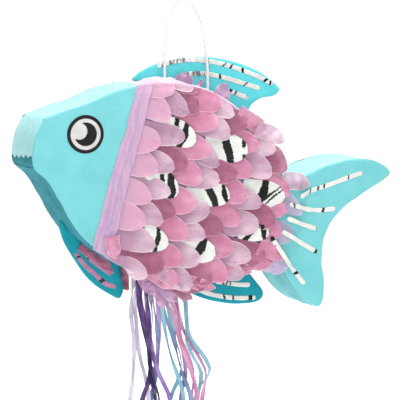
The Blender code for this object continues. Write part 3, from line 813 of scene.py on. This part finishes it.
def make_strips(curves):
    """The tissue on each edge strip of the box. On the back it turns pink and crumpled behind the gill."""
    names = list(curves)
    shares = np.linspace(-1, 1, STRIP_ACROSS)
    ys = STRIP_HALF * shares
    side_drop = np.cos(shares * math.pi / 2)[None] ** 0.35
    for number, name in enumerate(names):
        if name not in STRIP_LOOKS:
            continue
        # Each strip's look is a teal or pink painted lighter on the back and tail and darker on the nose, jaw
        # and underside, as painted light and shade.
        look = STRIP_LOOKS[name]
        following = names[(number + 1) % len(names)]
        start = CORNER_TRIM if name in CORNERS else JOINT_TRIM
        line = trimmed(curves[name], start, 0.1 if following in CORNERS else JOINT_TRIM)
        out = left_of(line)
        spots = np.stack(np.meshgrid(travelled(line), ys, indexing="ij"), axis=-1)
        x = line[:, :1]
        scaled = ease(x, GILL_X - 2, GILL_X + 4) * (name == "back_strip")
        swell = 0.25 + 0.3 * ripple(spots, 24, 20 + number) + 0.3 * crease(spots * (0.3, 1), 6, 30 + number)
        if look in LONG_CREASED:
            swell += 0.25 + 0.5 * crease(spots * (0.35, 1), 9, 55 + number)
            swell += 0.35 * crease(spots, 13, 65 + number)
        swell += scaled * (0.9 * crease(spots, 15, 50) + 0.6 * ripple(spots, 9, 51))
        hump = ease(x, -60, -38) * (1 - ease(x, -22, 0)) + 0.45 * ease(x, 0, 12) * (1 - ease(x, 24, 40))
        swell += scaled * hump * 5.0 * np.exp(-((ys[None] + 14) / 17) ** 2)
        if name == "nose_strip":
            swell *= 1 - 0.9 * ease(line[:, 1], *UNDER_LAP)[:, None]
        swell = swell * side_drop + 1.5 * scaled
        high = line[:, None] + out[:, None] * swell[..., None]
        low = np.repeat((line - CARD * out)[:, None], STRIP_ACROSS, axis=1)
        top = grid_faces(len(line), STRIP_ACROSS)
        faces, rim = doubled(top, len(line) * STRIP_ACROSS)
        # Behind the gill the back's pink tissue is painted paler as painted light from above.
        pink = 2 * np.repeat(scaled[:, 0] > 0.5, STRIP_ACROSS)
        kinds = [*(pink[face[0]] for face in top), *[1] * len(top), *(pink[b] for _, b in rim)]
        make(f"{name}_tissue", [at_depth(high, ys), at_depth(low, ys)], faces, [look, "bare_card", "lit_top_pink"],
             replaced=[name], kinds=kinds, closed=True)


def make_nose_lap(curves):
    """The top sheet of tissue, which laps over the nose and ends in a torn edge above the jaw."""
    nose, back = curves["nose_strip"][::-1], curves["back_strip"]
    corner = smooth([back[4], nose[0] + (0.6, -0.9), nose[3]], 1.0, back[5], nose[4])
    line = along(np.concatenate([corner, nose[4:][nose[4:, 1] > UNDER_LAP[0]]]), 40)
    rows, across = len(line), 41
    ys = STRIP_HALF * np.linspace(-1, 1, across)
    torn = -164.5 - 0.07 * ys + 1.6 * ripple(ys[:, None], 11, 90) + 0.7 * crease(ys[:, None], 5, 91)
    gone = travelled(line)
    out = left_of(line[::-1])[::-1]
    columns = []
    for y, low in zip(ys, torn):
        end = np.interp(-low, -line[:, 1], gone)
        places = np.linspace(0, end, rows)
        spots = np.stack([places, np.full(rows, y)], axis=-1)
        lifted = 1.25 + 0.35 * crease(spots, 9, 92) * ease(places, 2, 9) + 0.7 * ease(places, end - 5, end)
        lifted *= (0.3 + 0.7 * ease(places, 0, 2.5)) * max(0.25, 1 - abs(y / STRIP_HALF) ** 8)
        spot = placed(line, gone, places) + placed(out, gone, places) * lifted[:, None]
        columns.append(at_depth(spot, y))
    # The lap's teal is painted lighter as painted light from above.
    make("nose_tissue_lap", np.stack(columns, axis=1), grid_faces(rows, across), ["lit_teal"],
         sheet=TISSUE_THICK)


# ======== gill and scales ========

def leaning(across, heights):
    """Points on a side at distances behind the gill's line, at the given heights."""
    return np.stack([across + GILL_LEAN * (heights - GILL_Z), heights], axis=-1)


def wrapped(flat, height, facing, outline, free=0):
    """Places a sheet's points over a side face.

    Along the back the sheet is pinned down and folded over the edge of the box. Elsewhere only its free part,
    which is 1 at the tip and 0 at the root, may stand past the edge.
    """
    distance, nearest, out = from_outline(flat, outline)
    pinned = ease(out[:, 1], 0.62, 0.9)
    over = np.clip(distance, 0, None)
    height = height * (1 - pinned * 0.8 * ease(distance, -11, 0))
    stiff = free * (1 - pinned)
    past = np.clip(over - EDGE_REACH, 0, None)
    reach = np.minimum(over, EDGE_REACH) + past * stiff
    lateral = np.where((over > 0)[:, None], nearest + out * reach[:, None], flat)
    swell = np.maximum(face_swell(lateral), 0) * (1 - ease(distance, -3, 0))
    return at_depth(lateral, facing * (PANEL_OUT + swell + height - past * (1 - 0.75 * stiff)))


def make_gill(outline):
    """A band of tissue folded into long soft pleats, glued on behind the head. It widens downwards."""
    across = 33
    heights = np.arange(-84.0, -276.0, -2.0)
    spots, long = np.tile(np.linspace(0, 1, across), len(heights)), np.repeat(heights, across)
    low_down = ease(-long, 105, 225)
    front = GILL_X - 6.0 * low_down + 0.5 * ripple(long[:, None], 25, 61)
    rear = GILL_X + GILL_WIDTH + 2.0 - 1.5 * low_down + 0.6 * ripple(long[:, None], 18, 64)
    flat = leaning(front + (rear - front) * spots, long)
    drift = 0.1 * ripple(long[:, None], 55, 62)
    height = 0.6 + 3.0 * ease(spots, 0, 0.75)
    for place, width, size in GILL_PLEATS:
        height += size * np.exp(-((spots + drift - place) / width) ** 2)
    height += (0.35 + 0.5 * low_down) * crease(flat * (1, 0.35), 9, 63) * ease(spots, 0, 0.12)
    height *= 1 - 0.35 * ease(spots, 0.96, 1.0)
    distance = from_outline(flat, outline)[0].reshape(-1, across)
    keep = np.repeat(distance.min(axis=1) < 5, across)
    # Painted shade: the band is painted darker in the valleys of its pleats, over its own random tone.
    tone_and_shade = 0.85 - 0.6 * np.exp(-((spots + drift - 0.55) / 0.09) ** 2) + 0.12 * ripple(flat * (1, 0.15), 10, 65)
    tone_and_shade -= 0.9 * low_down * np.exp(-((spots + 1.3 * drift - 0.26) / 0.07) ** 2)
    # Painted highlight along both long edges of the band.
    rim = 0.8 * np.isin(spots, (0, 1))
    for title, facing in SIDES:
        make(f"gill_band_{title}_pleats", wrapped(flat, height, facing, outline)[keep],
             grid_faces(keep.sum() // across, across), ["gill"], replaced=[f"gill_band_{title}"],
             marks={"tone_and_shade": tone_and_shade[keep], "rim": rim[keep]}, sheet=TISSUE_THICK)


def petal(tip, look, draw, zebra):
    """One tongue of a fringe: flat points, heights and marks, over a grid from its root to its tip."""
    direction = unit(np.array([1, -GILL_LEAN]))
    upward = np.array([-direction[1], direction[0]])
    u, v = np.meshgrid(np.linspace(0, 1, PETAL_ALONG) ** 0.75, np.linspace(-1, 1, PETAL_ACROSS), indexing="ij")
    length = PETAL_LENGTHS.get(look, PETAL_LENGTH)
    turn = draw.normal(0, 0.1)
    past = np.clip(1 - (1 - u) * length / PETAL_FREE, 0, 1)
    half = PETAL_HALF_WIDTH * PETAL_WIDTHS[look] * draw.uniform(0.88, 1.06)
    half = np.maximum(half * np.maximum(1 - past**draw.uniform(1.9, 2.4), 0) ** 0.5, 0.3)
    droop = draw.uniform(-1.5, 5.0) * past**2
    back = -length * (1 - u)
    side = v * half - droop + turn * back
    flat = tip + back[..., None] * direction + side[..., None] * upward
    lift = draw.uniform(4.8, 7.0) * (0.5 if look == "lavender" else 1)
    cup = draw.uniform(-2.8, 1.4)
    curl = draw.uniform(-0.6, 3.4)
    height = 0.7 + lift * u**1.3 + cup * v**2 * u**2 + curl * past**3 - 0.8 * v * u
    for _ in range(PETAL_FOLDS):
        fold_at, fold = draw.uniform(-0.8, 0.8), draw.uniform(-0.8, 1.7)
        height += fold * past * np.exp(-((v - fold_at - draw.uniform(-0.6, 0.6) * past) / 0.17) ** 2)
    spots = np.stack([u * length, v * half], axis=-1)
    height += past * 0.6 * ripple(spots, 9, seed_from(draw))
    height += past * 0.5 * crease(spots, 8, seed_from(draw))
    edge = np.minimum(half * (1 - np.abs(v)), (1 - u) * length * 0.8)
    strength = draw.uniform(0.45, 1.0)
    uneven = 0.18 * ripple(flat, 9, seed_from(draw))
    # Painted shade darkens the tongue towards its root, where the strip above lies over it; strength and
    # uneven are its own random tone.
    tone_and_shade = strength * (0.3 + 0.7 * past) + uneven
    if look == "pale":
        tone_and_shade = (0.55 + 0.45 * strength) * ease(past, -0.2, 0.6) + 0.12 * (tone_and_shade - strength)
    if look == "first_pink":
        tone_and_shade = 0.2 * (tone_and_shade - strength) + ease(past, -0.1, 0.55)
    if not zebra:
        # The rim mark is a painted highlight along the tongue's free edge.
        rim = np.where(past > 0, 1 - np.clip(edge / 1.3, 0, 1), 0)
        return flat, np.maximum(height, 0.6), {"tone_and_shade": tone_and_shade, "rim": rim}
    height = 0.9 + 7.1 * u**1.55 - 0.9 * v**2 * u + 0.35 * ripple(spots, 16, seed_from(draw))
    # On a foil tongue the black bands are painted reflections of dark surroundings.
    reflection_bands = []
    for place, width, slant, missing in zebra[1]:
        wide = width * (1 + 0.15 * np.cos(v * 4) - missing * np.exp(-(v / 0.35) ** 2))
        reflection_bands.append(np.abs(-back - place - slant * v * half + 0.8 * np.sin(v * 3 + place)) - wide)
    return flat, np.maximum(height, 0.6), {"print_and_reflection": np.min(reflection_bands, axis=0), "silver": np.zeros(u.shape)}


def seed_from(draw):
    return int(draw.integers(1000))


def make_scales(outline):
    """Strips of tissue cut into rounded tongues. Each strip's tongues lie over the roots of the next."""
    size = PETAL_ALONG * PETAL_ACROSS
    free = ease(np.repeat(np.linspace(0, 1, PETAL_ALONG), PETAL_ACROSS), 0.35, 0.7)
    for title, facing in SIDES:
        for strip, (look, tip_x, tips) in enumerate(FRINGES):
            groups = {"fringe": [], "zebra": []}
            for k, z in enumerate(tips):
                draw = np.random.default_rng([7, strip, k])
                zebra = ZEBRA.get((strip, z))
                reach = tip_x + (zebra[0] if zebra else draw.uniform(-2.5, 2.5))
                flat, height, marks = petal(leaning(reach, float(z)), look, draw, zebra)
                flat = flat.reshape(-1, 2)
                distance = from_outline(flat, outline)[0]
                if np.median(distance[size // 2:]) > 6:
                    continue
                verts = wrapped(flat, height.reshape(-1), facing, outline, free)
                groups["zebra" if zebra else "fringe"].append((verts, marks))
            for kind, members in groups.items():
                if not members:
                    continue
                firsts = range(0, size * len(members), size)
                faces = [face for first in firsts for face in grid_faces(PETAL_ALONG, PETAL_ACROSS, first)]
                marks = {key: np.concatenate([own[key] for _, own in members]) for key in members[0][1]}
                stands = kind == "fringe" and strip < SCALE_ROWS
                replaced = [f"scale_row_{strip + 1}_{title}"] if stands else []
                make(f"{kind}_{strip + 1:02d}_{title}", [verts for verts, _ in members], faces,
                     ["reflecting_foil" if kind == "zebra" else look], replaced=replaced, marks=marks)


def make_loose_petals():
    """Tongues that have come away from the rows, mostly along the belly."""
    rows, across = 22, 13
    shares, v = np.meshgrid(np.linspace(0, 1, rows), np.linspace(-1, 1, across), indexing="ij")
    for number, (look, y, root, tip, half_width) in enumerate(LOOSE_PETALS):
        draw = np.random.default_rng([11, number])
        root, tip = np.array(root, float), np.array(tip, float)
        length = np.linalg.norm(tip - root)
        beside = unit(np.array([root[1] - tip[1], tip[0] - root[0]]))
        half = half_width * np.sqrt(np.maximum(1 - ease(shares, 0.45, 1.02) ** 2, 0.002))
        bend = draw.uniform(-2.5, 2.5) * np.sin(shares * math.pi)
        flat = root + shares[..., None] * (tip - root) + (v * half + bend)[..., None] * beside
        spots = np.stack([shares * length, v * half], axis=-1)
        height = 1.2 * ripple(spots, 9, 300 + number) + crease(spots, 8, 330 + number)
        height = height * (0.3 + 0.7 * shares) + draw.uniform(-2.0, 1.0) * v**2 * shares
        edge = np.minimum(half * (1 - np.abs(v)), (1 - shares) * length)
        # Painted shade darkens each tongue towards its root, over its own random tone; the rim mark is a
        # painted highlight along its edge.
        marks = {
            "tone_and_shade": 0.3 + 0.5 * shares + 0.25 * ripple(spots, 7, 360 + number),
            "rim": 1 - np.clip(edge, 0, 1),
        }
        make(f"loose_petal_{number + 1:02d}", at_depth(flat, y + (-height if y < 0 else height)),
             grid_faces(rows, across), [look], marks=marks)


# ======== fins and stripes ========

def fin_shape(name, curves):
    """A fin's closed clockwise outline: its free edge, and the run of the box that it stands on."""
    edge = FINS[name]
    root = curves[FIN_ROOTS[name]]
    low, high = sorted((edge[0][0], edge[-1][0]))
    within = (root[:, 0] > low + 1) & (root[:, 0] < high - 1)
    root = (root - 0.4 * left_of(root))[within]
    free = smooth(edge, STEP)
    if np.linalg.norm(root[0] - free[-1]) > np.linalg.norm(root[-1] - free[-1]):
        root = root[::-1]
    closed = np.concatenate([free, root])
    area = np.sum(closed[:, 0] * np.roll(closed[:, 1], -1) - np.roll(closed[:, 0], -1) * closed[:, 1])
    return closed[::-1] if area > 0 else closed


def fin_swell(points, number):
    return 0.14 * ripple(points, 15, 80 + number) + 0.16 * crease(points, 9, 81 + number)


def make_fins(curves):
    for number, name in enumerate(FINS):
        shape = fin_shape(name, curves)
        flat, triangles = filled(shape, 3.0, (0.35, 1.1), 15 + number)
        depth = np.clip(-from_outline(flat, shape)[0], 0, None)
        thick = FIN_THICK / 2 - round_off(depth, FIN_THICK / 2) + ease(depth, 1, 6) * fin_swell(flat, number)
        thick = np.maximum(thick, 0.02)
        faces, _ = doubled(triangles, len(flat))
        make(f"{name}_tissue", [at_depth(flat, -thick), at_depth(flat, thick)], faces, [FIN_LOOKS[name]],
             replaced=[name], closed=True)


def stripe_base(where, spots):
    """How far out the surface under a stripe is. The stripes on the tail start on top of the last tongues."""
    if where == "tail":
        return PANEL_OUT + face_swell(spots) + 0.1 + 6.5 * (1 - ease(behind_gill(spots), 155, 172))
    return FIN_THICK / 2 + fin_swell(spots, list(FINS).index(where)) + 0.1


def make_stripe(name, facing, where, seed, points, ticks, silver):
    """One foil stripe with round ends and black marks painted as reflections, and a silver stretch if silver
    says where.
    """
    across = 7
    shares = np.linspace(-1, 1, across)
    line = smooth(points, 1.2)
    gone = travelled(line)
    from_end = np.clip(np.minimum(gone, gone[-1] - gone) / STRIPE_HALF, 0, 1)
    width = STRIPE_HALF * np.sqrt(np.clip(1 - (1 - from_end) ** 2, 0.02, 1))
    width = width * (1 + 0.06 * ripple(gone[:, None], 9, seed))
    spots = line[:, None] + left_of(line)[:, None] * (shares[:, None] * width[:, None, None])
    spots = spots.reshape(-1, 2)
    base = stripe_base(where, spots)
    place, side = np.repeat(gone, across), np.tile(shares, len(line)) * STRIPE_HALF
    print_and_reflection = np.min([np.abs(place - at - slant * side) - half for at, half, slant in ticks], axis=0)
    shiny = np.zeros(len(place))
    if silver:
        start, end = silver
        shiny = ease(place, start - 3, start + 3) * (1 - ease(place, end - 5, end + 5))
    verts = [at_depth(spots, facing * (base + STRIPE_THICK)), at_depth(spots, facing * (base - 0.5))]
    faces, _ = doubled(grid_faces(len(line), across), len(spots))
    # On the pelvic fin the foil is painted in shade and reflecting the pink tissue.
    make(name, verts, faces, ["shaded_foil" if where == "pelvic_fin" else "reflecting_foil"],
         marks={"print_and_reflection": [print_and_reflection, print_and_reflection], "silver": [shiny, shiny]}, closed=True)


def make_stripes():
    for where, stripes in STRIPES.items():
        for title, facing in SIDES:
            for number, (points, ticks, *silver) in enumerate(stripes):
                seed = 200 + 10 * number + len(where)
                make_stripe(f"{where}_stripe_{number + 1}_{title}", facing, where, seed, points, ticks, silver)


# ======== eyes ========

def make_eyes():
    rings, around = 26, 96
    radii = EYE_RADIUS * np.linspace(0, 1, rings)[1:, None]
    angles = np.linspace(0, math.tau, around, endpoint=False)
    circles = np.stack([radii * np.cos(angles), radii * np.sin(angles)], axis=-1)
    flat = np.vstack([(0.0, 0.0), circles.reshape(-1, 2)])
    reach = np.linalg.norm(flat, axis=1)
    (glint_x, glint_z), glint_radius = EYE_GLINT
    glint = np.hypot(flat[:, 0] - glint_x, flat[:, 1] - glint_z) - glint_radius
    ring = np.maximum(EYE_WHITE - reach, reach - EYE_RADIUS - 2)
    pupil = np.maximum(reach - EYE_PUPIL, -glint)
    faces = [(0, 1 + (k + 1) % around, 1 + k) for k in range(around)]
    faces += grid_faces(len(radii), around, 1, closed=True)
    spots = flat + np.array(EYE)
    height = PANEL_OUT + face_swell(spots) + 0.55 - 0.5 * ease(reach, EYE_RADIUS - 0.8, EYE_RADIUS)
    for title, facing in SIDES:
        make(f"eye_{title}_sticker", at_depth(spots, facing * height), faces, ["eye_print"],
             replaced=[f"eye_{title}"], marks={"print_and_reflection": np.minimum(ring, pupil)}, sheet=STICKER_THICK)


# ======== the CAD pieces that stay ========

def finish_cad_pieces():
    """The door, its frame and tape, the cards and the knots keep their CAD shape and get their materials."""
    for look, names in CAD_LOOKS.items():
        for slot in [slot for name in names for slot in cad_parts[name].material_slots]:
            slot.link = "OBJECT"
            slot.material = MATERIALS[look]


def main():
    make_materials()
    make_camera()
    make_loop()
    make_ribbons()
    curves = run_curves()
    outline = np.concatenate([curve[:-1] for curve in curves.values()])
    make_panels(outline)
    make_strips(curves)
    make_nose_lap(curves)
    make_gill(outline)
    make_scales(outline)
    make_loose_petals()
    make_fins(curves)
    make_stripes()
    make_eyes()
    finish_cad_pieces()
    make_stage()


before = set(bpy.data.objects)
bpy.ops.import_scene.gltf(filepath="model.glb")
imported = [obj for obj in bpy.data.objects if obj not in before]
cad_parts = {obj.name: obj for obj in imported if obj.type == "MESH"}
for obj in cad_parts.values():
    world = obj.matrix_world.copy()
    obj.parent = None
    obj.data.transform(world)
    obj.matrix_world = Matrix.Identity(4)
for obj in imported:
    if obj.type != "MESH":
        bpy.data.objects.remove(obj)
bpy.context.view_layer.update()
main()
